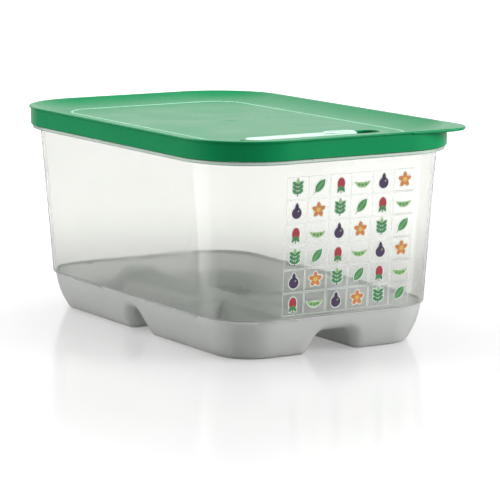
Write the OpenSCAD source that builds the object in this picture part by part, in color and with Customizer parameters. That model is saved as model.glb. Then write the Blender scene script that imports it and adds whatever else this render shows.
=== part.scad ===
// Ventilated produce keeper: a drafted, see-through container on four moulded feet,
// a dished press-fit lid with a corner pull tab, and a vent shutter that slides in the lid.
// Origin: bottom centre. +Z is up, the short front wall faces -Y.
// Every outline in plan is the same rounded rectangle, moved in or out from
// four fixed corner centres, so sections are drawn as (distance from the
// corner centre, height) and swept round.

/* [Overall] */
// Width over the lid's lip
lid_w = 221.6; // [200:0.2:260]
// Depth over the lid's lip
lid_d = 342.6; // [300:0.2:400]
// Height from the table to the lid's rim
lid_z = 162; // [130:1:220]
// Plan radius of the lid's corners, at the lip
corner_r = 59.3; // [56:0.1:70]
// Running gap between pieces that move apart
fit_gap = 0.3; // [0.2:0.05:0.4]

/* [Lid] */
// Thickness of the lid's sheet
lid_t = 1.6; // [1.2:0.1:2]
// Overhang of the lip past the skirt
lip_out = 1.4; // [1:0.1:2]
// Height of the skirt, lip included
skirt_h = 14.6; // [12:0.2:18]
// Thickness of the skirt
skirt_t = 1.8; // [1.4:0.1:2]
// Width of the flat rim round the top
rim_band = 3.8; // [3:0.1:5]
// Depth of the dished top below the rim
dish_depth = 6; // [4.5:0.1:7]
// Width of the curved cove between the rim and the flat panel
cove_w = 29.5; // [24:0.5:34]
// Width of the raised line round the flat panel
line_w = 1; // [0.6:0.1:1.6]
// Height of the raised line
line_h = 0.35; // [0.2:0.05:0.6]
// Diameter of the moulding dimple in the middle of the lid
dimple_d = 14; // [8:1:20]
// Depth of the moulding dimple
dimple_depth = 0.4; // [0.2:0.1:0.8]
// Height of the inner seal wall below the rim's seat
seal_h = 5; // [3:0.5:7]
// Thickness of the inner seal wall
seal_t = 1.6; // [1.2:0.1:2]
// Radius of the snap bead inside the skirt
snap_r = 2.4; // [2:0.1:2.5]
// Height of the snap bead above the skirt's lower edge
snap_up = 3.8; // [3:0.2:4.6]

/* [Pull tab] */
// Plan radius at the tab's tip
tab_r = 28; // [15:1:45]
// Thickness of the tab
tab_t = 2.4; // [1.8:0.1:3]

/* [Vent] */
// Length of the vent recess
vent_len = 113; // [90:1:120]
// Width of the vent recess
vent_w = 18.5; // [17:0.5:20]
// Middle of the recess, sideways from the middle of the lid
vent_x = -23.5; // [-25:0.5:-10]
// Middle of the recess, in from the front edge of the lip
vent_in = 19; // [18:0.5:22]
// Depth of the recess below the rim
vent_depth = 3; // [2.8:0.1:3.2]
// Wall of the raised surround that carries the recess
vent_wall = 2; // [1.8:0.1:2.5]
// Outward lean of that surround's wall, top to bottom
vent_flare = 2; // [1:0.5:3]
// Overhang of the lips that hold the shutter down
track_over = 1; // [0.8:0.1:1.2]
// Thickness of those lips
track_t = 1.1; // [0.9:0.1:1.3]
// Number of vent slots
slot_n = 4; // [3:1:4]
// Width of one vent slot
slot_w = 2.2; // [1.6:0.1:2.6]
// Length of one vent slot
slot_len = 10; // [8:0.5:11]
// Pitch of the vent slots
slot_pitch = 3.7; // [3.4:0.1:3.8]

/* [Vent shutter] */
// How far the shutter slides, from open to closed
travel = 19; // [18:0.5:24]
// Height of the shutter above the lid's rim
shutter_up = 0.5; // [0.2:0.1:1]
// Wall of the shutter
shutter_t = 1.3; // [1:0.1:1.5]
// Length of the thumb pad at the shutter's end
pad_len = 25; // [20:1:32]
// Height of the thumb pad above the shutter
pad_h = 0.9; // [0.6:0.1:1.4]
// Number of grip ribs on the thumb pad
grip_n = 5; // [3:1:6]

/* [Container] */
// Wall thickness
wall_t = 1.8; // [1.4:0.1:2.2]
// How far the flange stops short of the skirt's face
flange_short = 1.3; // [0.8:0.1:2]
// Thickness of the flange under the lid
flange_t = 2.7; // [2:0.1:3.5]
// Setback of the wall's top from the skirt's face
wall_in = 7.4; // [7:0.1:7.8]
// Inward lean of the wall, from the flange down to the step
draft = 9; // [4:0.5:11]
// Thickness of the rim that stands up inside the lid
rim_t = 2.4; // [2:0.1:2.7]
// Radius of the bead round the rim
bead_r = 1.5; // [1.2:0.1:1.6]
// Height of the frosted base band, up to the step
band_h = 28; // [26:0.5:34]
// Height of the step above the band
step_h = 1.5; // [1:0.1:2.5]
// Setback of the band under the step
step_in = 2.1; // [1.5:0.1:3]
// Radius of the band's bowed side, seen in section
bow_r = 60; // [50:1:75]
// Lean of the band's side at its top, in degrees
bow_lean = 7; // [4:0.5:10]
// Radius where the band turns into the underside of a foot
foot_r = 4; // [3:0.5:6]

/* [Base channels] */
// Height of the channels
channel_h = 18.5; // [15:0.5:20]
// Clear width between the feet, of the channel that opens in the short walls
short_gap = 56; // [48:1:64]
// Clear width between the feet, of the channel that opens in the long walls
long_gap = 46; // [42:1:56]
// Run of a channel's side, from the foot to the round under the ceiling
channel_run = 17; // [16:0.5:20]
// Radius between a channel's side and its ceiling
channel_top_r = 8.5; // [6:0.5:9]
// Radius between a channel's side and the foot
channel_foot_r = 6; // [5:0.5:7]

/* [Drip ribs] */
// Height of a rib above the floor of a foot
rib_h = 3; // [2:0.5:4]
// Thickness of a rib
rib_t = 1.6; // [1.2:0.1:2.2]
// Number of ribs in each foot
rib_n = 6; // [4:1:7]
// Pitch of the ribs
rib_pitch = 16; // [12:1:17]

/* [Hidden] */
$fn = 96;
over = 1;
bite = 0.05;

// Corner centres of every plan outline
cx = lid_w / 2 - corner_r;
cy = lid_d / 2 - corner_r;

// Lid, as distances from the corner centre and heights
skirt_r = corner_r - lip_out;
skirt_in_r = skirt_r - skirt_t;
skirt_z = lid_z - skirt_h;
cove_r = corner_r - rim_band;
panel_r = cove_r - cove_w;
panel_z = lid_z - dish_depth;
cove_bend = (cove_w * cove_w + dish_depth * dish_depth) / (2 * dish_depth);
pocket_z = lid_z - vent_depth;
seat_z = pocket_z - lid_t;

// Container walls
flange_r = skirt_r - flange_short;
flange_top = skirt_z - fit_gap;
flange_z = flange_top - flange_t;
wall_top_r = skirt_r - wall_in;
wall_low_r = wall_top_r - draft;
rim_in_r = wall_top_r - wall_t;
rim_r = rim_in_r + rim_t;
rim_z = seat_z - fit_gap;
bead_out_r = rim_r + bead_r / 2;
seal_r = rim_in_r - fit_gap;

// Base band: a bowed side that runs into a small round at the foot
band_r = wall_low_r - step_in;
bow_x = band_r - bow_r * cos(bow_lean);
bow_z = band_h + bow_r * sin(bow_lean);
foot_x = bow_x + sqrt(pow(bow_r - foot_r, 2) - pow(bow_z - foot_r, 2));
meet_dz = (foot_r - bow_z) / (bow_r - foot_r);

// Slope of a base channel's sides
run_span = norm([channel_run, channel_h - channel_top_r - channel_foot_r]);
side_turn = atan2(channel_h - channel_top_r - channel_foot_r, channel_run)
    + acos(-(channel_top_r + channel_foot_r) / run_span);

// Vent recess and shutter, in plan
vent_y = vent_in - lid_d / 2;
vent_end_x = vent_x + vent_len / 2;
shutter_len = vent_len - travel - 2 * fit_gap;
shutter_w = vent_w - 2 * fit_gap;
shutter_x = vent_x - vent_len / 2 + fit_gap + shutter_len / 2;
shutter_z = pocket_z + fit_gap;
track_z = lid_z - track_t;
body_w = vent_w - 2 * track_over - 2 * fit_gap;
body_len = shutter_len - (shutter_w - body_w);
shutter_top = lid_z + shutter_up;

// Sweeps a section round the four corner centres. core gives the lowest and
// highest level of a section that is filled to the middle.
module around(core = []) {
    for (mx = [0, 1])
        for (my = [0, 1])
            mirror([mx, 0, 0])
                mirror([0, my, 0])
                    translate([cx, cy, 0])
                        rotate_extrude(angle = 90)
                            children();
    for (m = [0, 1]) {
        mirror([m, 0, 0])
            translate([0, cy, 0])
                rotate([90, 0, 0])
                    linear_extrude(2 * cy)
                        translate([cx, 0])
                            children();
        rotate([0, 0, 90])
            mirror([m, 0, 0])
                translate([0, cx, 0])
                    rotate([90, 0, 0])
                        linear_extrude(2 * cx)
                            translate([cy, 0])
                                children();
    }
    if (len(core) == 2)
        translate([-cx, -cy, core[0]])
            cube([2 * cx, 2 * cy, core[1] - core[0]]);
}

// A band of a section, from one distance and level to another
module span(r1, r2, z1, z2) {
    translate([r1, z1])
        square([r2 - r1, z2 - z1]);
}

// A bar with half-round ends along X; flare widens its foot
module stadium(len, w, z1, z2, flare = 0) {
    straight = len - w;
    for (s = [-1, 1])
        translate([s * straight / 2, 0, z1])
            cylinder(h = z2 - z1, r1 = w / 2 + flare, r2 = w / 2);
    translate([-straight / 2, 0, 0])
        rotate([90, 0, 90])
            linear_extrude(straight)
                polygon([[-w / 2 - flare, z1], [w / 2 + flare, z1], [w / 2, z2], [-w / 2, z2]]);
}

// Level of the shoulder under the step, on a surface t inside the outer one
function shoulder_z(t) = band_h + t / 2;
function band_top_r(t) = bow_x + sqrt(pow(bow_r - t, 2) - pow(bow_z - shoulder_z(t), 2));
function meet_z(t) = bow_z + (bow_r - t) * meet_dz;

// Filled section of the container, t inside its outer face, up to the level top
module body_section(t, top) {
    // The shoulder's slope starts inside the bowed side, so the two cross cleanly
    polygon([
        [0, shoulder_z(t) - step_h],
        [band_top_r(t) - step_in, shoulder_z(t) - step_h],
        [wall_low_r - t, shoulder_z(t) + step_h],
        [wall_top_r - t, flange_z],
        [wall_top_r - t, top],
        [0, top]
    ]);
    intersection() {
        translate([bow_x, bow_z])
            circle(bow_r - t);
        span(0, bow_r, meet_z(t), shoulder_z(t));
    }
    translate([foot_x, foot_r])
        circle(foot_r - t);
    span(0, foot_x, t, foot_r);
}

// Bell-shaped section of a base channel, gap wide between the feet and t outside its
// outer face. Each side is a straight line that starts and ends a hair inside the
// rounds at its top and foot, so the outlines cross cleanly.
module channel_section(gap, t) {
    edge = gap / 2;
    top_x = edge - channel_run;
    top_z = channel_h - channel_top_r;
    top_in = channel_top_r + t - bite;
    foot_in = channel_foot_r - t - bite;
    touch_x = -cos(side_turn);
    touch_z = sin(side_turn);
    for (s = [-1, 1]) {
        difference() {
            polygon([
                [0, -over],
                [s * edge, -over],
                [s * edge, t],
                [s * (edge - touch_x * foot_in), channel_foot_r - touch_z * foot_in],
                [s * (top_x + touch_x * top_in), top_z + touch_z * top_in],
                [s * top_x, channel_h + t],
                [0, channel_h + t]
            ]);
            translate([s * edge, channel_foot_r])
                circle(channel_foot_r - t);
        }
        translate([s * top_x, top_z])
            circle(channel_top_r + t);
    }
}

// Both channels, crossing under the middle of the container
module channels(t) {
    for (a = [0, 90])
        rotate([90, 0, a])
            translate([0, 0, -lid_d])
                linear_extrude(2 * lid_d)
                    channel_section(a == 0 ? short_gap : long_gap, t);
}

// Low ribs that keep the produce off the floor of each foot
module drip_ribs() {
    first = long_gap / 2 + rib_pitch / 2;
    intersection() {
        for (mx = [0, 1])
            for (my = [0, 1])
                mirror([mx, 0, 0])
                    mirror([0, my, 0])
                        for (i = [0 : rib_n - 1])
                            translate([short_gap / 2, first + i * rib_pitch, wall_t / 2])
                                cube([lid_w / 2, rib_t, wall_t / 2 + rib_h]);
        around([0, band_h])
            span(0, foot_x - rib_t, 0, band_h);
    }
}

module container() {
    color([0.88, 0.92, 0.89]) {
        difference() {
            around([0, rim_z]) {
                body_section(0, flange_top);
                span(0, flange_r, flange_z, flange_top);
                span(0, rim_r, flange_z, rim_z);
                translate([bead_out_r - bead_r, rim_z - bead_r])
                    circle(bead_r);
            }
            channels(0);
            difference() {
                around([wall_t, rim_z + over])
                    body_section(wall_t, rim_z + over);
                channels(wall_t);
            }
        }
        drip_ribs();
    }
}

// Part of a section that lies under the lid's dished top
module under_cove(r1, r2, z1) {
    difference() {
        span(r1, r2, z1, lid_z);
        translate([panel_r, panel_z + cove_bend])
            circle(cove_bend, $fn = 256);
    }
}

// Flat panel, cove, rim and lip
module sheet_section() {
    span(0, panel_r, panel_z - lid_t, panel_z);
    intersection() {
        difference() {
            translate([panel_r, panel_z + cove_bend])
                circle(cove_bend + lid_t, $fn = 256);
            translate([panel_r, panel_z + cove_bend])
                circle(cove_bend, $fn = 256);
        }
        span(panel_r, cove_r, panel_z - lid_t, lid_z);
    }
    span(cove_r, corner_r - lid_t / 2, lid_z - lid_t, lid_z);
    translate([corner_r - lid_t / 2, lid_z - lid_t / 2])
        circle(lid_t / 2);
}

// The lip filled out to a nearly square corner, for a finger
module pull_tab() {
    tip_x = lid_w / 2 - tab_r;
    tip_y = lid_d / 2 - tab_r;
    mirror([0, 1, 0])
        translate([0, 0, lid_z - tab_t])
            linear_extrude(tab_t)
                difference() {
                    union() {
                        span(cx, tip_x, cy, lid_d / 2);
                        span(cx, lid_w / 2, cy, tip_y);
                        translate([tip_x, tip_y])
                            circle(tab_r);
                    }
                    translate([cx, cy])
                        circle(skirt_in_r);
                }
}

// Raised surround of the recess, with an apron that joins it to the rim
module vent_surround() {
    intersection() {
        translate([vent_x, vent_y, 0]) {
            stadium(vent_len + 2 * vent_wall, vent_w + 2 * vent_wall,
                    panel_z - lid_t, lid_z, vent_flare);
            translate([-vent_len / 2, -vent_in, seat_z])
                cube([vent_len, vent_in, lid_t + vent_depth]);
        }
        around()
            span(0, skirt_r, skirt_z, lid_z);
    }
}

// Hollow under the recess, which keeps its walls as thin as the sheet
module vent_hollow() {
    shrink = 2 * (vent_wall - lid_t);
    translate([vent_x, vent_y, 0])
        stadium(vent_len + shrink, vent_w + shrink, panel_z - lid_t - over, seat_z, vent_flare);
}

// T-shaped recess that the shutter's foot runs in, and the slots in its floor
module vent_cut() {
    translate([vent_x, vent_y, 0]) {
        stadium(vent_len, vent_w, pocket_z, track_z);
        stadium(vent_len - 2 * track_over, vent_w - 2 * track_over, track_z - over, lid_z + over);
    }
    for (i = [0 : slot_n - 1])
        translate([vent_end_x - vent_w / 4 - i * slot_pitch, vent_y, 0])
            rotate([0, 0, 90])
                stadium(slot_len, slot_w, seat_z - over, pocket_z + over);
}

module lid() {
    color([0.06, 0.56, 0.35])
        difference() {
            union() {
                difference() {
                    union() {
                        around([panel_z - lid_t, panel_z])
                            sheet_section();
                        vent_surround();
                    }
                    vent_hollow();
                    around()
                        span(seal_r, skirt_in_r, skirt_z - over, seat_z);
                }
                around() {
                    under_cove(seal_r - seal_t, bead_out_r + fit_gap, seat_z);
                    span(seal_r - seal_t, seal_r, seat_z - seal_h, seat_z);
                    span(skirt_in_r, skirt_r, skirt_z, lid_z - lid_t / 2);
                    intersection() {
                        translate([skirt_in_r, skirt_z + snap_up])
                            circle(snap_r);
                        span(0, skirt_r, skirt_z, lid_z);
                    }
                    span(panel_r - line_w, panel_r, panel_z - lid_t, panel_z + line_h);
                }
                pull_tab();
            }
            vent_cut();
            translate([0, 0, panel_z - dimple_depth])
                cylinder(h = 2 * dimple_depth, d1 = dimple_d / 2, d2 = dimple_d * 3 / 2);
        }
}

module vent_shutter() {
    pad_w = body_w - 2 * shutter_t;
    pad_x = body_len / 2 - shutter_t - pad_len / 2;
    grip_pitch = (pad_len - pad_w) / (grip_n - 1);
    color([0.90, 0.96, 0.92])
        translate([shutter_x, vent_y, 0]) {
            difference() {
                union() {
                    stadium(shutter_len, shutter_w, shutter_z, track_z - fit_gap);
                    stadium(body_len, body_w, shutter_z, shutter_top);
                    translate([pad_x, 0, 0])
                        stadium(pad_len, pad_w, shutter_z, shutter_top + pad_h);
                }
                stadium(body_len - 2 * shutter_t, body_w - 2 * shutter_t,
                        shutter_z - over, shutter_top - shutter_t);
            }
            for (i = [0 : grip_n - 1])
                translate([pad_x + (i - (grip_n - 1) / 2) * grip_pitch, 0, 0])
                    rotate([0, 0, 90])
                        stadium(pad_w * 0.7, 1.2, shutter_top, shutter_top + pad_h + 0.4);
        }
}

container();
lid();
vent_shutter();
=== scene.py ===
import math
import bpy
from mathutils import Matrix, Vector


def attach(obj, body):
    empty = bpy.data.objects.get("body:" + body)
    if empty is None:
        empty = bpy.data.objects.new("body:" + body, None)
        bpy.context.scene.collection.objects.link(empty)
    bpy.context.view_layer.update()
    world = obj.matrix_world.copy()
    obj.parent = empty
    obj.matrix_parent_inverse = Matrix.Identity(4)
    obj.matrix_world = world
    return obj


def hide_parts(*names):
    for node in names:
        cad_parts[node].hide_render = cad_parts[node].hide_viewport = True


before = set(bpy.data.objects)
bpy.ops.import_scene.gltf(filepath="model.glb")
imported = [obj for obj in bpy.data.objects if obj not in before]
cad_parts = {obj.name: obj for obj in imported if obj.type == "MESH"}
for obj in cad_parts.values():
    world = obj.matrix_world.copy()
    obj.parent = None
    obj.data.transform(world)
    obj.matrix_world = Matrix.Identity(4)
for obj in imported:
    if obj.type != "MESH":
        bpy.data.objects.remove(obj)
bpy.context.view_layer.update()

# Container. One injection moulding in see-through plastic: drafted walls, a flange and a
# beaded rim at the top, a step, and a frosted base with four feet parted by two crossing
# channels. The mould's sections are drawn as (distance from the corner centre, height).
MM = 0.001
CORNER_X = 51.5
CORNER_Y = 112.0
WALL = 1.8


def arc(r, z, radius, first, last, steps):
    """Points on a circle about (r, z), between two angles in degrees."""
    turns = [math.radians(first + (last - first) * i / steps) for i in range(steps + 1)]
    return [(r + radius * math.cos(a), z + radius * math.sin(a)) for a in turns]


def rounded(*corners, steps=4, closed=False):
    """A section through corners (r, z) or (r, z, fillet radius)."""
    line = []
    count = len(corners)
    for i, corner in enumerate(corners):
        here = Vector(corner[:2])
        fillet = corner[2] if len(corner) == 3 else 0
        if not fillet or (not closed and i in (0, count - 1)):
            line.append(tuple(here))
            continue
        back = (Vector(corners[i - 1][:2]) - here).normalized()
        on = (Vector(corners[(i + 1) % count][:2]) - here).normalized()
        half = math.acos(max(-1.0, min(1.0, back.dot(on)))) / 2
        reach = fillet / math.tan(half)
        middle = here + (back + on).normalized() * fillet / math.sin(half)
        start, end = here + back * reach - middle, here + on * reach - middle
        sweep = start.angle_signed(end)
        for k in range(steps + 1):
            turn = -sweep * k / steps
            x = start.x * math.cos(turn) - start.y * math.sin(turn)
            y = start.x * math.sin(turn) + start.y * math.cos(turn)
            line.append((middle.x + x, middle.y + y))
    return line


def calc(tree, operation, a, b=None):
    """A Math node in the tree; a and b are sockets or numbers."""
    node = tree.nodes.new("ShaderNodeMath")
    node.operation = operation
    for socket, value in zip(node.inputs, (a, b)):
        if isinstance(value, (int, float)):
            socket.default_value = value
        elif value is not None:
            tree.links.new(value, socket)
    return node.outputs[0]


def add(tree, kind, settings=(), **inputs):
    """A node of that kind, with inputs given by name as sockets or values."""
    node = tree.nodes.new(kind)
    for name, value in settings:
        setattr(node, name, value)
    for name, value in inputs.items():
        socket = node.inputs[name.replace("_", " ")]
        if isinstance(value, bpy.types.NodeSocket):
            tree.links.new(value, socket)
        else:
            socket.default_value = value
    return node


def geometry_tree(name, **inputs):
    """A Geometry Nodes tree with a geometry in and out and the named inputs."""
    tree = bpy.data.node_groups.new(name, "GeometryNodeTree")
    face = tree.interface
    face.new_socket("Geometry", in_out="INPUT", socket_type="NodeSocketGeometry")
    for key, kind in inputs.items():
        face.new_socket(key.replace("_", " "), in_out="INPUT", socket_type="NodeSocket" + kind)
    face.new_socket("Geometry", in_out="OUTPUT", socket_type="NodeSocketGeometry")
    given = tree.nodes.new("NodeGroupInput")
    return tree, given


def end_tree(tree, given, geometry):
    """Ends a tree in Realize Instances and Set Material."""
    real = add(tree, "GeometryNodeRealizeInstances", Geometry=geometry)
    inked = add(tree, "GeometryNodeSetMaterial", Geometry=real.outputs[0],
                Material=given.outputs["Material"])
    out = tree.nodes.new("NodeGroupOutput")
    tree.links.new(inked.outputs[0], out.inputs[0])


# Section tree: the input mesh is a line of section points, x the distance from the corner
# centres and z the level, swept round a rounded rectangle.
sweep_tree, given = geometry_tree("Section swept round", Corner_X="Float", Corner_Y="Float",
                                  Centre_X="Float", Centre_Y="Float", Arc_Steps="Int",
                                  Filled="Bool", Material="Material")
t = sweep_tree
section = given.outputs["Geometry"]
size = add(t, "GeometryNodeAttributeDomainSize", Geometry=section)
per_arc = calc(t, "ADD", given.outputs["Arc Steps"], 1)
ring = calc(t, "MULTIPLY", per_arc, 4)
row = calc(t, "ADD", ring, 1)
grid = add(t, "GeometryNodeMeshGrid")
t.links.new(size.outputs["Point Count"], grid.inputs["Vertices X"])
t.links.new(row, grid.inputs["Vertices Y"])
index = t.nodes.new("GeometryNodeInputIndex").outputs[0]
level = calc(t, "FLOOR", calc(t, "DIVIDE", calc(t, "ADD", index, 0.5), row))
along = calc(t, "SUBTRACT", index, calc(t, "MULTIPLY", level, row))
along = calc(t, "MODULO", along, ring)
quarter = calc(t, "FLOOR", calc(t, "DIVIDE", calc(t, "ADD", along, 0.5), per_arc))
share = calc(t, "DIVIDE", calc(t, "SUBTRACT", along, calc(t, "MULTIPLY", quarter, per_arc)),
             given.outputs["Arc Steps"])
turn = calc(t, "MULTIPLY", calc(t, "ADD", quarter, share), math.pi / 2)
middle = calc(t, "MULTIPLY", calc(t, "ADD", quarter, 0.5), math.pi / 2)
spot = add(t, "GeometryNodeSampleIndex", (("data_type", "FLOAT_VECTOR"),), Geometry=section,
           Value=t.nodes.new("GeometryNodeInputPosition").outputs[0], Index=level)
parts = add(t, "ShaderNodeSeparateXYZ", Vector=spot.outputs[0])
place = t.nodes.new("ShaderNodeCombineXYZ")
for axis, wave in (("X", "COSINE"), ("Y", "SINE")):
    side = calc(t, "SIGN", calc(t, wave, middle))
    centre = calc(t, "ADD", calc(t, "MULTIPLY", side, given.outputs["Corner " + axis]),
                  given.outputs["Centre " + axis])
    reach = calc(t, "MULTIPLY", parts.outputs["X"], calc(t, wave, turn))
    t.links.new(calc(t, "ADD", centre, reach), place.inputs[axis])
t.links.new(parts.outputs["Z"], place.inputs["Z"])
skin = add(t, "GeometryNodeSetPosition", Geometry=grid.outputs["Mesh"],
           Position=place.outputs[0])
plates = t.nodes.new("GeometryNodeJoinGeometry")
last = calc(t, "SUBTRACT", size.outputs["Point Count"], 1)
for end, flip in ((0, False), (last, True)):
    spot = add(t, "GeometryNodeSampleIndex", (("data_type", "FLOAT_VECTOR"),),
               Geometry=section, Value=t.nodes.new("GeometryNodeInputPosition").outputs[0],
               Index=end)
    level = add(t, "ShaderNodeSeparateXYZ", Vector=spot.outputs[0]).outputs["Z"]
    at = t.nodes.new("ShaderNodeCombineXYZ")
    t.links.new(given.outputs["Centre X"], at.inputs["X"])
    t.links.new(given.outputs["Centre Y"], at.inputs["Y"])
    t.links.new(level, at.inputs["Z"])
    plate = add(t, "GeometryNodeMeshGrid", Vertices_X=2, Vertices_Y=2,
                Size_X=calc(t, "MULTIPLY", given.outputs["Corner X"], 2),
                Size_Y=calc(t, "MULTIPLY", given.outputs["Corner Y"], 2))
    plate = add(t, "GeometryNodeTransform", Geometry=plate.outputs["Mesh"],
                Translation=at.outputs[0]).outputs[0]
    if flip:
        plate = add(t, "GeometryNodeFlipFaces", Mesh=plate).outputs[0]
    t.links.new(plate, plates.inputs[0])
caps = add(t, "GeometryNodeSwitch", (("input_type", "GEOMETRY"),), Switch=given.outputs["Filled"])
t.links.new(plates.outputs[0], caps.inputs["True"])
whole = t.nodes.new("GeometryNodeJoinGeometry")
t.links.new(skin.outputs[0], whole.inputs[0])
t.links.new(caps.outputs[0], whole.inputs[0])
closed = add(t, "GeometryNodeMergeByDistance", Geometry=whole.outputs[0], Distance=2e-6)
end_tree(t, given, closed.outputs[0])


def settle(piece):
    """Makes a piece's live modifiers part of its mesh, then removes them."""
    bpy.context.view_layer.update()
    graph = bpy.context.evaluated_depsgraph_get()
    done = bpy.data.meshes.new_from_object(piece.evaluated_get(graph), depsgraph=graph)
    piece.modifiers.clear()
    piece.data = done
    return piece


def with_tree(piece, tree, **values):
    """Runs a Geometry Nodes tree on the piece and keeps the result as its mesh."""
    step = piece.modifiers.new(tree.name, "NODES")
    step.node_group = tree
    sockets = {s.name: s.identifier for s in tree.interface.items_tree
               if s.item_type == "SOCKET" and s.in_out == "INPUT"}
    for name, value in values.items():
        step[sockets[name.replace("_", " ")]] = value
    return settle(piece)


def mesh_piece(name, points, edges=(), faces=()):
    """An object from plain points in millimetres."""
    mesh = bpy.data.meshes.new(name)
    mesh.from_pydata([tuple(c * MM for c in p) for p in points], edges, faces)
    piece = bpy.data.objects.new(name, mesh)
    bpy.context.scene.collection.objects.link(piece)
    return piece


def moulding(name, line, corner=(CORNER_X, CORNER_Y), centre=(0, 0), arc_steps=24,
             filled=True, material=None):
    """A closed solid: the section line swept round a rounded rectangle."""
    if not filled:
        line = line + [line[0]]
    points = [(r, 0, z) for r, z in line]
    piece = mesh_piece(name, points, [(i, i + 1) for i in range(len(points) - 1)])
    return with_tree(piece, sweep_tree, Corner_X=corner[0] * MM, Corner_Y=corner[1] * MM,
                     Centre_X=centre[0] * MM, Centre_Y=centre[1] * MM, Arc_Steps=arc_steps,
                     Filled=filled, Material=material)


def combine(piece, operation, *others):
    """Joins other solids to a piece, or cuts them out of it."""
    for other in others:
        step = piece.modifiers.new(operation, "BOOLEAN")
        step.operation = operation
        step.solver = "EXACT"
        step.object = other
    settle(piece)
    for other in others:
        bpy.data.objects.remove(other)
    return piece


def soften(piece, angle=32):
    """Smooth shading that keeps the edges above an angle, weighted by face area."""
    piece.data.polygons.foreach_set("use_smooth", [True] * len(piece.data.polygons))
    piece.data.set_sharp_from_angle(angle=math.radians(angle))
    step = piece.modifiers.new("Normals", "WEIGHTED_NORMAL")
    step.keep_sharp = True
    piece.cycles.shadow_terminator_geometry_offset = 0
    piece.cycles.shadow_terminator_offset = 0
    return settle(piece)


BOW = (-20.153, 35.312, 60.0)  # circle of the base's bowed side: r, z, radius
FOOT = (26.275, 4.0, 4.0)      # circle of the foot's lower edge
MEET = -34.0                   # angle at which the two circles meet
CHANNEL_LONG = (34, 17.8)      # gap between the feet and height, of the channel along x
CHANNEL_CROSS = (48, 17.0)
CHANNEL_FOOT = 6               # radius between a channel's side and the feet
CHANNEL_ROOF = 8.3             # radius between its side and its roof
CHANNEL_RUN = 16               # width of one side in plan
CHANNEL_LEAN = 16.8            # lean of that side, in degrees

outer_face = rounded((0, 157.1), (50.0, 157.1))
outer_face += arc(50.35, 155.6, 1.5, 90, -60, 8)
outer_face += rounded((51.1, 154.0), (51.1, 147.1, 0.5), (56.6, 147.1, 0.8), (56.6, 144.4, 0.8),
                      (50.5, 144.4, 1.0), (41.5, 29.5, 0.8), (39.4, 28.0, 0.5), (39.27, 27.0))[:-1]
outer_face += arc(*BOW[:2], BOW[2], -8.0, MEET, 16)
outer_face += arc(*FOOT[:2], FOOT[2], MEET, -90, 6)[1:] + [(0, 0)]
inner_face = rounded((0, 158.5), (49.6, 158.5), (49.6, 157.3), (48.7, 156.2), (48.7, 144.4),
                     (39.7, 30.4, 0.8), (37.7, 28.9, 0.5), (37.59, 28.0))[:-1]
inner_face += arc(*BOW[:2], BOW[2] - WALL, -7.3, MEET, 16)
inner_face += arc(*FOOT[:2], FOOT[2] - WALL, MEET, -90, 6)[1:] + [(0, WALL)]


def wall_reach(z, inset):
    """Distance of the base's side from the corner centres at a level."""
    z = max(z, 2.4 + 0.6 * inset)
    return BOW[0] + math.sqrt((BOW[2] - inset) ** 2 - (z - BOW[1]) ** 2)


def channel(inset, gap, high, along_x, mouth=8.0, steps=7):
    """A bar with the bell-shaped section of a base channel, inset from its outer face. It
    flares where it comes out of the side walls, so the edges of the arch are rounded."""
    edge = gap / 2
    roof = CHANNEL_ROOF + inset
    half = [(p, (-1, 0)) for p in arc(-edge, CHANNEL_FOOT, CHANNEL_FOOT - inset,
                                      -90, -CHANNEL_LEAN, 10)]
    half += [((CHANNEL_RUN - edge + roof * a, high - CHANNEL_ROOF + roof * b), (a, b))
             for a, b in arc(0, 0, 1, 180 - CHANNEL_LEAN, 90, 8)]
    bell = [((-edge, -1), (-1, 0))] + half
    bell += [((-p[0], p[1]), (-n[0], n[1])) for p, n in reversed(bell)]
    centre = CORNER_X if along_x else CORNER_Y
    rings = []
    for k in range(steps + 2):
        turn = math.radians(min(k, steps) * 90 / steps)
        grow = (mouth - inset) * (1 - math.cos(turn))
        deep = (mouth - inset) * (1 - math.sin(turn)) if k <= steps else -4
        rings.append([(u + a * grow, z + b * grow, deep) for (u, z), (a, b) in bell])
    points = []
    for side, order in ((-1, rings[::-1]), (1, rings)):
        for ring in order:
            for u, z, deep in ring:
                end = side * (centre + wall_reach(z, inset) - deep)
                points.append((end, u, z) if along_x else (-u, end, z))
    count = len(bell)
    last = len(points) - count
    faces = [tuple(range(count)), tuple(reversed(range(last, last + count)))]
    for k in range(0, last, count):
        faces += [(k + (i + 1) % count, k + i, k + count + i, k + count + (i + 1) % count)
                  for i in range(count)]
    return mesh_piece("channel", points, faces=faces)


container = moulding("container_body", outer_face)
combine(container, "DIFFERENCE", channel(0, *CHANNEL_LONG, True),
        channel(0, *CHANNEL_CROSS, False))
hollow = moulding("hollow", inner_face)
combine(hollow, "DIFFERENCE", channel(WALL, *CHANNEL_LONG, True),
        channel(WALL, *CHANNEL_CROSS, False))
combine(container, "DIFFERENCE", hollow)

# Row tree: copies of one piece in a straight row.
row_tree, given = geometry_tree("Row of copies", Count="Int", Start="Vector", Step="Vector",
                                Material="Material")
marks = add(row_tree, "GeometryNodeMeshLine", Count=given.outputs["Count"],
            Start_Location=given.outputs["Start"], Offset=given.outputs["Step"])
copies = add(row_tree, "GeometryNodeInstanceOnPoints", Points=marks.outputs[0],
             Instance=given.outputs["Geometry"])
end_tree(row_tree, given, copies.outputs[0])


def row_of(piece, count, start, step, material=None):
    """Repeats a piece in a row; start and step are in millimetres."""
    return with_tree(piece, row_tree, Count=count, Start=[c * MM for c in start],
                     Step=[c * MM for c in step], Material=material)


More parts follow.
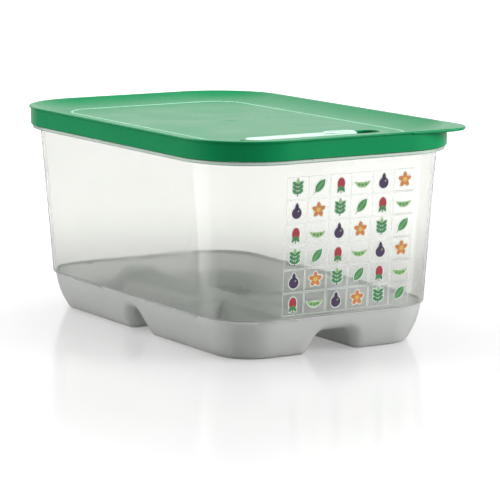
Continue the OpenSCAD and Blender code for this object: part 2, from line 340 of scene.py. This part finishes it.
RIBS = 6
RIB_PITCH = 16
RIB_LENGTH = 23.3         # half of it, from the middle to the round end
RIB_START = (52.1, 31.8)  # middle of the first rib in a foot
for side_x in (-1, 1):
    for side_y in (-1, 1):
        rib = moulding("rib", rounded((0, 4.8), (0.8, 4.8, 0.6), (0.8, 1.0), (0, 1.0)),
                       corner=(RIB_LENGTH, 0), arc_steps=4)
        row_of(rib, RIBS, (side_x * RIB_START[0], side_y * RIB_START[1], 0),
               (0, side_y * RIB_PITCH, 0))
        combine(container, "UNION", rib)

# The plastic is clear with a slight haze in the walls, and the base is frosted by the mould's
# texture up to the step.
# Its faces that look up get a paler, less clear copy of that finish, which is painted light. The
# step and the
# flange are thick edges: the step band is paler, a painted highlight, and the flange band is
# green, a painted reflection of the lid. So the one moulding carries five materials.


def surface_group():
    """Fine unevenness of a moulded surface: a height for bump and a mask for gloss."""
    group = bpy.data.node_groups.new("Moulded surface", "ShaderNodeTree")
    for name, value in (("Grain Size", 0.002), ("Flow Size", 0.03)):
        socket = group.interface.new_socket(name, in_out="INPUT", socket_type="NodeSocketFloat")
        socket.default_value = value
    for name in ("Grain", "Flow"):
        group.interface.new_socket(name, in_out="OUTPUT", socket_type="NodeSocketFloat")
    came = group.nodes.new("NodeGroupInput")
    goes = group.nodes.new("NodeGroupOutput")
    spot = group.nodes.new("ShaderNodeTexCoord").outputs["Object"]
    for name, detail in (("Grain", 2.0), ("Flow", 1.0)):
        scale = calc(group, "DIVIDE", 1.0, came.outputs[name + " Size"])
        noise = add(group, "ShaderNodeTexNoise", Vector=spot, Scale=scale, Detail=detail)
        group.links.new(noise.outputs[0], goes.inputs[name])
    return group


moulded_surface = surface_group()


def plastic(name, **sockets):
    """A material with a Principled shader, whose plain sockets are set by name."""
    material = bpy.data.materials.new(name)
    material.use_nodes = True
    tree = material.node_tree
    shader = tree.nodes["Principled BSDF"]
    for key, value in sockets.items():
        shader.inputs[key.replace("_", " ")].default_value = value
    return material, tree, shader


def finish_surface(tree, shader, grain, flow, roughness, spread, bump):
    """Feeds roughness and bump from the moulded surface group."""
    group = tree.nodes.new("ShaderNodeGroup")
    group.node_tree = moulded_surface
    group.inputs["Grain Size"].default_value = grain
    group.inputs["Flow Size"].default_value = flow
    gloss = add(tree, "ShaderNodeMapRange", Value=group.outputs["Flow"], From_Min=0.3,
                From_Max=0.7, To_Min=roughness - spread, To_Max=roughness + spread)
    tree.links.new(gloss.outputs[0], shader.inputs["Roughness"])
    raised = add(tree, "ShaderNodeBump", Strength=bump, Distance=0.0002,
                 Height=group.outputs["Grain"])
    tree.links.new(raised.outputs[0], shader.inputs["Normal"])
    return group


def edge_tint(tree, shader, colour, edge, start=0.6):
    """Darkens see-through plastic where it is looked at along the wall."""
    facing = add(tree, "ShaderNodeLayerWeight", Blend=0.5)
    share = add(tree, "ShaderNodeMapRange", Value=facing.outputs["Facing"], From_Min=start,
                From_Max=1.0)
    tint = add(tree, "ShaderNodeMix", (("data_type", "RGBA"),))
    tint.inputs[6].default_value = (*colour, 1)
    tint.inputs[7].default_value = (*edge, 1)
    tree.links.new(share.outputs[0], tint.inputs[0])
    tree.links.new(tint.outputs[2], shader.inputs["Base Color"])


clear_wall, tree, shader = plastic("clear_wall", Transmission_Weight=0.93, IOR=1.33)
finish_surface(tree, shader, 0.006, 0.05, 0.06, 0.03, 0.04)
edge_tint(tree, shader, (0.862, 0.866, 0.843), (0.10, 0.105, 0.105), 0.72)
frosted_base, tree, shader = plastic("frosted_base", Transmission_Weight=0.6, IOR=1.49)
finish_surface(tree, shader, 0.0025, 0.04, 0.38, 0.05, 0.08)
edge_tint(tree, shader, (0.93, 0.94, 0.92), (0.60, 0.61, 0.59), 0.85)
# A paler, less clear copy of the frosted finish for the base's faces that look up: painted light.
base_painted_light, tree, shader = plastic("base_painted_light", Base_Color=(0.97, 0.975, 0.965, 1),
                                    Transmission_Weight=0.2, IOR=1.3)
finish_surface(tree, shader, 0.0025, 0.04, 0.42, 0.05, 0.08)
# The step band is paler and less clear than the walls: a painted highlight for the light its
# shoulder catches.
step_painted_highlight, tree, shader = plastic("step_painted_highlight", Base_Color=(0.95, 0.955, 0.95, 1),
                                  Transmission_Weight=0.35, IOR=1.49)
finish_surface(tree, shader, 0.0025, 0.04, 0.28, 0.04, 0.05)
# The flange band is tinted green: a painted reflection of the green lid over it.
flange_painted_reflection, tree, shader = plastic("flange_painted_reflection", Base_Color=(0.50, 0.62, 0.54, 1),
                                    Transmission_Weight=0.3, IOR=1.4)
finish_surface(tree, shader, 0.0025, 0.04, 0.24, 0.04, 0.05)

STEP_BAND = (27.2, 30.9)  # levels between which a face belongs to the step
FROST_TOP = 29.9
FLANGE_BAND = (143.2, 147.3)
LOOKS_UP = 0.35           # a face of the base whose normal rises more gets the paler copy: painted light
soften(container)
container.data.materials.clear()
for material in (clear_wall, frosted_base, step_painted_highlight, flange_painted_reflection, base_painted_light):
    container.data.materials.append(material)
for face in container.data.polygons:
    heights = [container.data.vertices[v].co.z / MM for v in face.vertices]
    low, high = min(heights), max(heights)
    if low > STEP_BAND[0] and high < STEP_BAND[1]:
        face.material_index = 2
    elif high < FROST_TOP:
        # Faces that look up get the paler copy of the frosted finish: painted light.
        face.material_index = 4 if face.normal.z > LOOKS_UP else 1
    elif low > FLANGE_BAND[0] and high < FLANGE_BAND[1]:
        face.material_index = 3
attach(container, "container")
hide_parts("container")

# Printed guide. A sheet of small pictures in coloured ink on a white base coat, printed on
# the outside of the front wall: rows of equal tiles, each a thin frame round one motif of
# a leaf, sprig, blossom, drop, pod or bud. The ink follows the wall and its corner.
INK = {"white": (0.80, 0.86, 0.82), "leaf": (0.06, 0.27, 0.09), "deep": (0.02, 0.11, 0.05),
       "light": (0.32, 0.52, 0.20), "plum": (0.06, 0.03, 0.09), "red": (0.40, 0.035, 0.05),
       "orange": (0.62, 0.22, 0.06), "yellow": (0.70, 0.50, 0.12)}
INK_STEP = 0.03


def oval(x, y, long, wide, turn=0, count=20, point=0.0):
    """Outline of an oval, drawn out to a point at both ends where point is above 0."""
    turn = math.radians(turn)
    line = []
    for i in range(count):
        a = 2 * math.pi * i / count
        u = long * math.cos(a)
        v = wide * math.sin(a) * (1 - point * abs(math.cos(a)) ** 3)
        line.append((x + u * math.cos(turn) - v * math.sin(turn),
                     y + u * math.sin(turn) + v * math.cos(turn)))
    return line


def bar(x0, y0, x1, y1, width):
    """Outline of a straight stroke."""
    along = Vector((x1 - x0, y1 - y0)).normalized() * width / 2
    return [(x0 + along.y, y0 - along.x), (x1 + along.y, y1 - along.x),
            (x1 - along.y, y1 + along.x), (x0 - along.y, y0 + along.x)]


def crescent(x, y, radius, thick, first, last, count=14):
    """Outline of a pod: a bow that is thickest in the middle."""
    outer, inner = [], []
    for i in range(count + 1):
        a = math.radians(first + (last - first) * i / count)
        swell = thick * math.sin(math.pi * i / count)
        outer.append((x + (radius + swell) * math.cos(a), y + (radius + swell) * math.sin(a)))
        inner.append((x + (radius - swell) * math.cos(a), y + (radius - swell) * math.sin(a)))
    return outer + inner[-2:0:-1]


def grown(line, by):
    """The same outline, larger all round: the white base coat under a motif."""
    x = sum(p[0] for p in line) / len(line)
    y = sum(p[1] for p in line) / len(line)
    out = []
    for u, v in line:
        reach = math.hypot(u - x, v - y)
        out.append((x + (u - x) * (1 + by / reach), y + (v - y) * (1 + by / reach)))
    return out


def printed(name, shapes, base=True):
    """Thin closed films of ink, (outline, ink, layer); every colour lies on a base coat."""
    films = [(grown(line, 0.7), "white", 0) for line, ink, layer in shapes] if base else []
    points, faces, inks = [], [], []
    for line, ink, layer in films + [(line, ink, layer + 1) for line, ink, layer in shapes]:
        area = sum(p[0] * q[1] - q[0] * p[1] for p, q in zip(line, line[1:] + line[:1]))
        line = line if area > 0 else line[::-1]
        first, count = len(points), len(line)
        low = 0.02 + layer * INK_STEP * 1.2
        points += [(x, y, low) for x, y in line] + [(x, y, low + INK_STEP) for x, y in line]
        faces.append(tuple(range(first + count - 1, first - 1, -1)))
        faces.append(tuple(range(first + count, first + 2 * count)))
        faces += [(first + i, first + (i + 1) % count, first + count + (i + 1) % count,
                   first + count + i) for i in range(count)]
        inks += [INK[ink]] * (2 * count)
    piece = mesh_piece(name, points, faces=faces)
    tint = piece.data.color_attributes.new("ink", "FLOAT_COLOR", "POINT")
    for value, colour in zip(tint.data, inks):
        value.color = (*colour, 1)
    return piece


leaf = printed("leaf", [(oval(0.4, 0.4, 6.0, 3.0, 48, 24, 0.7), "leaf", 0),
                        (bar(-5.2, -5.8, 3.2, 3.6, 0.5), "light", 1)])
sprig = printed("sprig", [(bar(0, -6, 0, 4, 0.7), "deep", 0)] +
                [(oval(side * 2.4, -2.6 + 2.9 * k, 2.7, 1.25, side * 35 + 90 - side * 90, 14, 0.6),
                  "leaf", 1) for k in range(3) for side in (-1, 1)] +
                [(oval(0, 5.0, 2.2, 1.1, 90, 14, 0.6), "light", 1)])
blossom = printed("blossom", [(oval(3.1 * math.cos(a), 3.1 * math.sin(a), 2.6, 1.7,
                                    math.degrees(a), 14), ink, 0)
                              for a, ink in ((math.radians(90 + 72 * k), "orange")
                                             for k in range(5))] +
                  [(oval(0, 0, 1.8, 1.8), "yellow", 1)])
drop = printed("drop", [(oval(0, -1.2, 4.1, 4.1), "plum", 0),
                        (oval(0, 3.6, 2.6, 1.5, 90, 14, 0.7), "plum", 0),
                        (oval(1.4, 0.2, 0.9, 0.5, 50, 10), "light", 1)])
pod = printed("pod", [(crescent(0, 7.5, 9.0, 2.0, -138, -42), "light", 0)] +
              [(oval(9.0 * math.cos(a), 7.5 + 9.0 * math.sin(a), 1.0, 1.0, 0, 10), "leaf", 1)
               for a in (math.radians(d) for d in (-108, -90, -72))])
bud = printed("bud", [(oval(0, 0.6, 4.6, 3.2, 90, 20), "red", 0),
                      (oval(-1.6, -3.2, 2.8, 1.2, 60, 14, 0.6), "leaf", 1),
                      (oval(1.6, -3.2, 2.8, 1.2, 120, 14, 0.6), "leaf", 1),
                      (bar(0, -3, 0, -6.4, 0.7), "deep", 0)])
TILE = (18.4, 17.0)
FRAME = 0.35
half_x, half_y = TILE[0] / 2 - 0.5, TILE[1] / 2 - 0.5
tile_frame = printed("tile_frame", [
    (bar(-half_x, y, half_x, y, FRAME), "white", -1) for y in (-half_y, half_y)] + [
    (bar(x, -half_y + FRAME / 2, x, half_y - FRAME / 2, FRAME), "white", -1)
    for x in (-half_x, half_x)], base=False)

chart_tree, given = geometry_tree("Tiles printed on the wall", Columns="Int", Rows="Int",
                                  Pitch_X="Float", Pitch_Y="Float", Centre="Vector",
                                  Wall_Foot="Float", Wall_Lean="Float", Corner_X="Float",
                                  Corner_Y="Float", Motif_1="Object", Motif_2="Object",
                                  Motif_3="Object", Motif_4="Object", Motif_5="Object",
                                  Motif_6="Object", Material="Material")
t = chart_tree
columns, rows = given.outputs["Columns"], given.outputs["Rows"]
marks = add(t, "GeometryNodeMeshGrid", Vertices_X=columns, Vertices_Y=rows,
            Size_X=calc(t, "MULTIPLY", calc(t, "SUBTRACT", columns, 1), given.outputs["Pitch X"]),
            Size_Y=calc(t, "MULTIPLY", calc(t, "SUBTRACT", rows, 1), given.outputs["Pitch Y"]))
marks = add(t, "GeometryNodeTransform", Geometry=marks.outputs["Mesh"],
            Translation=given.outputs["Centre"]).outputs[0]
index = t.nodes.new("GeometryNodeInputIndex").outputs[0]
column = calc(t, "FLOOR", calc(t, "DIVIDE", calc(t, "ADD", index, 0.5), rows))
line = calc(t, "SUBTRACT", index, calc(t, "MULTIPLY", column, rows))
pick = calc(t, "MODULO", calc(t, "ADD", column, calc(t, "MULTIPLY", line, 2)), 6)
motifs = t.nodes.new("GeometryNodeJoinGeometry")
for number in range(1, 7):
    motif = add(t, "GeometryNodeObjectInfo", Object=given.outputs[f"Motif {number}"])
    motif = add(t, "GeometryNodeGeometryToInstance", Geometry=motif.outputs["Geometry"])
    t.links.new(motif.outputs[0], motifs.inputs[0])
pictures = add(t, "GeometryNodeInstanceOnPoints", Points=marks, Instance=motifs.outputs[0],
               Pick_Instance=True, Instance_Index=pick)
frames = add(t, "GeometryNodeInstanceOnPoints", Points=marks, Instance=given.outputs["Geometry"])
sheet = t.nodes.new("GeometryNodeJoinGeometry")
t.links.new(pictures.outputs[0], sheet.inputs[0])
t.links.new(frames.outputs[0], sheet.inputs[0])
flat = add(t, "GeometryNodeRealizeInstances", Geometry=sheet.outputs[0])
spot = add(t, "ShaderNodeSeparateXYZ", Vector=t.nodes.new("GeometryNodeInputPosition").outputs[0])
reach = calc(t, "ADD", given.outputs["Wall Foot"],
             calc(t, "MULTIPLY", spot.outputs["Y"], given.outputs["Wall Lean"]))
past = calc(t, "MAXIMUM", calc(t, "SUBTRACT", spot.outputs["X"], given.outputs["Corner X"]), 0)
bend = calc(t, "DIVIDE", past, reach)
reach = calc(t, "ADD", reach, spot.outputs["Z"])
wrapped = t.nodes.new("ShaderNodeCombineXYZ")
t.links.new(calc(t, "ADD", calc(t, "MINIMUM", spot.outputs["X"], given.outputs["Corner X"]),
                 calc(t, "MULTIPLY", reach, calc(t, "SINE", bend))), wrapped.inputs["X"])
t.links.new(calc(t, "MULTIPLY", calc(t, "ADD", given.outputs["Corner Y"],
                                     calc(t, "MULTIPLY", reach, calc(t, "COSINE", bend))), -1),
            wrapped.inputs["Y"])
t.links.new(spot.outputs["Y"], wrapped.inputs["Z"])
on_wall = add(t, "GeometryNodeSetPosition", Geometry=flat.outputs[0], Position=wrapped.outputs[0])
end_tree(t, given, on_wall.outputs[0])

printed_ink, tree, shader = plastic("printed_ink")
group = finish_surface(tree, shader, 0.002, 0.01, 0.42, 0.05, 0.03)
tint = add(tree, "ShaderNodeAttribute", (("attribute_name", "ink"),))
worn = add(tree, "ShaderNodeMapRange", Value=group.outputs["Grain"], From_Min=0.3, From_Max=0.7,
           To_Min=0.9, To_Max=1.08)
mottled = add(tree, "ShaderNodeVectorMath", (("operation", "SCALE"),), Scale=worn.outputs[0])
tree.links.new(tint.outputs["Color"], mottled.inputs[0])
tree.links.new(mottled.outputs[0], shader.inputs["Base Color"])

WALL_FOOT = (41.5, 29.5)  # the wall's outer face starts above the step: r, z
WALL_HEAD = (50.5, 144.4)
LEAN = (WALL_HEAD[0] - WALL_FOOT[0]) / (WALL_HEAD[1] - WALL_FOOT[1])
SHEET_MIDDLE = (4.5, 83.5)  # x and level of the middle of the printed sheet
motif_pieces = (leaf, sprig, blossom, drop, pod, bud)
chart = with_tree(tile_frame, chart_tree, Columns=6, Rows=6, Pitch_X=TILE[0] * MM,
                  Pitch_Y=TILE[1] * MM, Centre=(*(c * MM for c in SHEET_MIDDLE), 0),
                  Wall_Foot=(WALL_FOOT[0] - WALL_FOOT[1] * LEAN) * MM, Wall_Lean=LEAN,
                  Corner_X=CORNER_X * MM, Corner_Y=CORNER_Y * MM, Material=printed_ink,
                  **{f"Motif_{n}": piece for n, piece in enumerate(motif_pieces, 1)})
chart.name = "printed_guide"
for piece in motif_pieces:
    bpy.data.objects.remove(piece)
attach(chart, "container")

# Lid. One moulding in soft green plastic that snaps over the container's flange: a dished
# top with a flat panel and a raised line round it, a seal wall inside, a skirt with a snap
# bead, a pull tab at one corner, and a raised surround that carries the shutter's recess.
PANEL = 26.0
COVE = (PANEL, 231.52, 75.52)
LID_T = 1.6
COVE_END = 22.99
VENT = (-23.5, -152.3)
VENT_CORNER = (47.25, 0)


def under_cove(r, below):
    """Level of a surface that lies below the cove's top by that much."""
    return COVE[1] - math.sqrt((COVE[2] + below) ** 2 - (r - PANEL) ** 2)


top_face = [(0, 156), (24.85, 156), (25.05, 156.2), (25.3, 156.35), (25.7, 156.35),
            (25.95, 156.2), (26.2, 156.01)]
top_face += arc(*COVE, -89.5, COVE_END - 90 - 1.0, 18)
top_face += rounded(top_face[-1], (55.5, 162, 2.0), (58.5, 162))[1:]
top_face += arc(58.5, 161.2, 0.8, 90, -90, 8)[1:]
top_face += [(55.5, 160.4)] + arc(*COVE[:2], COVE[2] + LID_T, COVE_END - 90, -90, 12)
top_face += [(0, 154.4)]
lid = moulding("lid_body", top_face, arc_steps=32)

surround = moulding("surround", rounded((0, 162), (11.25, 162, 0.8), (13.25, 154.4),
                                        (0, 154.4)),
                    corner=VENT_CORNER, centre=VENT, arc_steps=16)
apron = moulding("apron", [(0, 162), (0.01, 162), (0.01, 157.4), (0, 157.4)],
                 corner=(56.5, 9.5), centre=(VENT[0], -161.8), arc_steps=2)
combine(surround, "UNION", apron)
combine(surround, "INTERSECT",
        moulding("limit", rounded((0, 162.5), (57.6, 162.5), (57.6, 147), (0, 147)), arc_steps=32))
combine(lid, "UNION", surround)
combine(lid, "DIFFERENCE",
        moulding("pocket_hollow", rounded((0, 157.4), (9.65, 157.4, 0.5), (11.65, 153.4),
                                          (0, 153.4)),
                 corner=VENT_CORNER, centre=VENT, arc_steps=16),
        moulding("groove", [(48.4, 146.4), (48.4, 157.4), (56.6, 157.4), (56.6, 146.4)],
                 filled=False, arc_steps=32))
seat = rounded((46.8, under_cove(46.8, 0.8)), (49.5, under_cove(49.5, 0.8)),
               (52.15, under_cove(52.15, 0.8)), (52.15, 157.4, 0.3), (48.4, 157.4, 0.4),
               (48.4, 152.4, 0.5), (46.8, 152.4, 0.5), closed=True)
skirt = [(56.1, 161.2), (57.9, 161.2)]
skirt += rounded((57.9, 160), (57.9, 147.4, 0.6), (56.1, 147.4, 0.4), (56.1, 148.8))
skirt += arc(56.1, 151.2, 2.4, 270, 90, 12)
combine(lid, "UNION", moulding("seat", seat, filled=False, arc_steps=32),
        moulding("skirt", skirt, filled=False, arc_steps=32))
tab = moulding("tab", rounded((0, 161.97), (28, 161.97, 1.0), (28, 159.6, 0.9), (0, 159.6)),
               corner=(17.4, 17.65), centre=(65.4, -125.65))
combine(tab, "INTERSECT", moulding("tab_part", [(0, 165), (0.01, 165), (0.01, 157), (0, 157)],
                                   corner=(34.2, 34.2), centre=(85.7, -146.2), arc_steps=2))
combine(tab, "DIFFERENCE", moulding("inside", [(0, 164), (57.2, 164), (57.2, 152), (0, 152)],
                                    arc_steps=32))
combine(lid, "UNION", tab)
recess = [(0, 163.5), (8.7, 163.5), (8.7, 162.05)] + arc(8.65, 161.6, 0.4, 90, 180, 3)
recess += rounded((8.25, 160.9), (9.25, 160.9), (9.25, 159, 0.3), (0, 159))
slot = moulding("slot", [(0, 160), (1.1, 160), (1.1, 156), (0, 156)], corner=(0, 3.9),
                arc_steps=6)
row_of(slot, 4, (28.375, VENT[1], 0), (-3.7, 0, 0))
dimple = moulding("dimple", [(0, 156.5), (8.2, 156.5), (6.6, 155.98), (5.2, 155.82), (3.5, 155.7),
                             (1.5, 155.62), (0, 155.6)], corner=(0, 0), arc_steps=16)
combine(lid, "DIFFERENCE",
        moulding("recess", recess, corner=VENT_CORNER, centre=VENT, arc_steps=16), slot, dimple)

green_lid, tree, shader = plastic("green_lid", IOR=1.27)
group = finish_surface(tree, shader, 0.003, 0.04, 0.28, 0.03, 0.03)
shade = add(tree, "ShaderNodeMix", (("data_type", "RGBA"),))
shade.inputs[6].default_value = (0.001, 0.240, 0.082, 1)
shade.inputs[7].default_value = (0.002, 0.266, 0.091, 1)
tree.links.new(group.outputs["Flow"], shade.inputs[0])
# The raised line is painted paler, a painted highlight for the light its bead catches. It is found
# by its distance from the corner centres, on the part of the top at the panel's level.
LINE_R = 25.5
LINE_LEVELS = (155.9, 156.55)
spot = tree.nodes.new("ShaderNodeTexCoord").outputs["Object"]
folded = add(tree, "ShaderNodeVectorMath", (("operation", "ABSOLUTE"),))
tree.links.new(spot, folded.inputs[0])
beyond = add(tree, "ShaderNodeVectorMath", (("operation", "SUBTRACT"),))
tree.links.new(folded.outputs[0], beyond.inputs[0])
beyond.inputs[1].default_value = (CORNER_X * MM, CORNER_Y * MM, 1)
outside = add(tree, "ShaderNodeVectorMath", (("operation", "MAXIMUM"),))
tree.links.new(beyond.outputs[0], outside.inputs[0])
outside.inputs[1].default_value = (0, 0, 0)
reach = add(tree, "ShaderNodeVectorMath", (("operation", "LENGTH"),))
tree.links.new(outside.outputs[0], reach.inputs[0])
off_line = calc(tree, "ABSOLUTE", calc(tree, "SUBTRACT", reach.outputs["Value"], LINE_R * MM))
highlight_line_mask = add(tree, "ShaderNodeMapRange", Value=off_line, From_Min=0.6 * MM,
              From_Max=1.0 * MM, To_Min=0.95, To_Max=0.0).outputs[0]
level = add(tree, "ShaderNodeSeparateXYZ", Vector=spot).outputs["Z"]
highlight_line_mask = calc(tree, "MULTIPLY", highlight_line_mask,
               calc(tree, "GREATER_THAN", level, LINE_LEVELS[0] * MM))
highlight_line_mask = calc(tree, "MULTIPLY", highlight_line_mask,
               calc(tree, "LESS_THAN", level, LINE_LEVELS[1] * MM))
highlight_line_mix = add(tree, "ShaderNodeMix", (("data_type", "RGBA"),))
tree.links.new(highlight_line_mask, highlight_line_mix.inputs[0])
tree.links.new(shade.outputs[2], highlight_line_mix.inputs[6])
# Paler green of the painted highlight on the raised line.
highlight_line_mix.inputs[7].default_value = (0.38, 0.72, 0.52, 1)
tree.links.new(highlight_line_mix.outputs[2], shader.inputs["Base Color"])
soften(lid)
lid.data.materials.clear()
lid.data.materials.append(green_lid)
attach(lid, "lid")
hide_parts("lid")

# Vent shutter. A small pale moulding, hollow underneath, whose foot runs under the lips of
# the recess. A raised thumb pad with grip ribs stands at the end that pushes it.
SHUTTER = (-33.0, VENT[1])
PAD_X = SHUTTER[0] + 31.9
strip = rounded((0, 162.5), (7.95, 162.5, 0.5), (7.95, 160.6), (8.95, 160.6, 0.15),
                (8.95, 159.3, 0.15), (6.65, 159.3), (6.65, 161.2, 0.4), (0, 161.2))
shutter = moulding("shutter_body", strip, corner=(37.75, 0), centre=SHUTTER, arc_steps=16)
pad = moulding("pad", rounded((0, 163.4), (6.65, 163.4, 0.4), (6.65, 162.2), (0, 162.2)),
               corner=(5.85, 0), centre=(PAD_X, SHUTTER[1]), arc_steps=16)
grip = moulding("grip", rounded((0, 163.8), (0.6, 163.8, 0.35), (0.6, 162.9), (0, 162.9)),
                corner=(0, 4.055), arc_steps=6)
row_of(grip, 5, (PAD_X - 5.85, SHUTTER[1], 0), (2.925, 0, 0))
combine(shutter, "UNION", pad, grip)
pale_shutter, tree, shader = plastic("pale_shutter", Base_Color=(0.60, 0.78, 0.69, 1), IOR=1.35)
finish_surface(tree, shader, 0.002, 0.02, 0.28, 0.03, 0.03)
soften(shutter)
shutter.data.materials.clear()
shutter.data.materials.append(pale_shutter)
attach(shutter, "shutter")
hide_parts("vent_shutter")

# Studio: a pale floor that takes the object's shadow and a soft reflection, a white surround, and
# three large soft
# lamps: behind on the left, in front on the right, and above. The floor's glow is weaker near the
# object, a painted shadow, and the floor is darker in reflections, painted shade.
floor = mesh_piece("floor", [(-4000, -4000, 0), (4000, -4000, 0), (4000, 4000, 0),
                             (-4000, 4000, 0)], faces=[(0, 1, 2, 3)])
white_floor, tree, shader = plastic("white_floor", Roughness=0.15, Specular_IOR_Level=0.5)
path = tree.nodes.new("ShaderNodeLightPath").outputs
seen = calc(tree, "MAXIMUM", path["Is Camera Ray"], path["Is Transmission Ray"])
seen = calc(tree, "MAXIMUM", seen, calc(tree, "MULTIPLY", path["Is Glossy Ray"], 0.08))
spot = tree.nodes.new("ShaderNodeTexCoord").outputs["Object"]
near = add(tree, "ShaderNodeVectorMath", (("operation", "SUBTRACT"),))
tree.links.new(spot, near.inputs[0])
near.inputs[1].default_value = (0.0, -0.12, 0)
away = add(tree, "ShaderNodeVectorMath", (("operation", "LENGTH"),))
tree.links.new(near.outputs[0], away.inputs[0])
# The floor's glow is lowest near the object and rises with distance: a painted shadow round it,
# added to the real shadow from the lamps.
glow_with_painted_shadow = add(tree, "ShaderNodeMapRange", (("interpolation_type", "SMOOTHSTEP"),),
           Value=away.outputs["Value"], From_Min=0.2, From_Max=0.78, To_Min=0.27, To_Max=1.05)
tree.links.new(calc(tree, "MULTIPLY", seen, glow_with_painted_shadow.outputs[0]), shader.inputs["Emission Strength"])
# The floor's colour is darker where glossy surfaces reflect it: painted shade in those
# reflections.
tone_dark_in_reflections = calc(tree, "SUBTRACT", 0.5, calc(tree, "MULTIPLY", path["Is Glossy Ray"], 0.35))
grey = tree.nodes.new("ShaderNodeCombineXYZ")
for axis in "XYZ":
    tree.links.new(tone_dark_in_reflections, grey.inputs[axis])
tree.links.new(grey.outputs[0], shader.inputs["Base Color"])
shader.inputs["Emission Color"].default_value = (1, 1, 1, 1)
floor.data.materials.append(white_floor)

world = bpy.data.worlds.new("surround")
bpy.context.scene.world = world
world.use_nodes = True
tree = world.node_tree
path = tree.nodes.new("ShaderNodeLightPath").outputs
seen = calc(tree, "MAXIMUM", path["Is Camera Ray"], path["Is Transmission Ray"])
way = tree.nodes.new("ShaderNodeTexCoord").outputs["Generated"]
behind = add(tree, "ShaderNodeVectorMath", (("operation", "DOT_PRODUCT"),))
tree.links.new(way, behind.inputs[0])
behind.inputs[1].default_value = (0.517, 0.856, 0)
back = add(tree, "ShaderNodeMapRange", (("interpolation_type", "SMOOTHSTEP"),),
           Value=behind.outputs["Value"], From_Min=0.42, From_Max=0.85, To_Min=0.08, To_Max=1.0)
height = add(tree, "ShaderNodeSeparateXYZ", Vector=way).outputs["Z"]
low = add(tree, "ShaderNodeMapRange", (("interpolation_type", "SMOOTHSTEP"),), Value=height,
          From_Min=0.35, From_Max=0.9, To_Min=1.0, To_Max=0.3)
mirrored = calc(tree, "MULTIPLY", back.outputs[0], low.outputs[0])
ambient = 0.3
glossy = path["Is Glossy Ray"]
strength = calc(tree, "ADD", ambient, calc(tree, "MULTIPLY", seen, 1 - ambient))
strength = calc(tree, "ADD", calc(tree, "MULTIPLY", strength, calc(tree, "SUBTRACT", 1, glossy)),
                calc(tree, "MULTIPLY", glossy, mirrored))
tree.nodes["Background"].inputs["Color"].default_value = (1, 1, 1, 1)
tree.links.new(strength, tree.nodes["Background"].inputs["Strength"])

look_at = Vector((0, 0, 0.08))
for name, place, width, height, power in (
        ("left_softbox", (-1.5, 0.9, 0.75), 1.2, 1.0, 22),
        ("right_softbox", (1.35, -1.2, 0.75), 1.2, 1.0, 36),
        ("top_softbox", (0, 0.1, 1.7), 1.4, 1.4, 20)):
    lamp = bpy.data.lights.new(name, "AREA")
    lamp.shape = "RECTANGLE"
    lamp.size, lamp.size_y, lamp.energy = width, height, power
    holder = bpy.data.objects.new(name, lamp)
    holder.location = place
    holder.rotation_euler = (look_at - Vector(place)).to_track_quat("-Z", "Y").to_euler()
    bpy.context.scene.collection.objects.link(holder)

azimuth, elevation, distance = math.radians(-31.1537), math.radians(9.0857), 2.0879
target = Vector((0.01178, -0.00709, 0.05602))
offset = Vector((math.sin(azimuth) * math.cos(elevation), -math.cos(azimuth) * math.cos(elevation),
                 math.sin(elevation)))
lens = bpy.data.cameras.new("camera")
lens.lens = 194.4
lens.sensor_width = 36
lens.clip_end = 50
camera = bpy.data.objects.new("camera", lens)
camera.location = target + offset * distance
camera.rotation_euler = (-offset).to_track_quat("-Z", "Y").to_euler()
bpy.context.scene.collection.objects.link(camera)
bpy.context.scene.camera = camera
bpy.context.scene.view_settings.view_transform = "Standard"
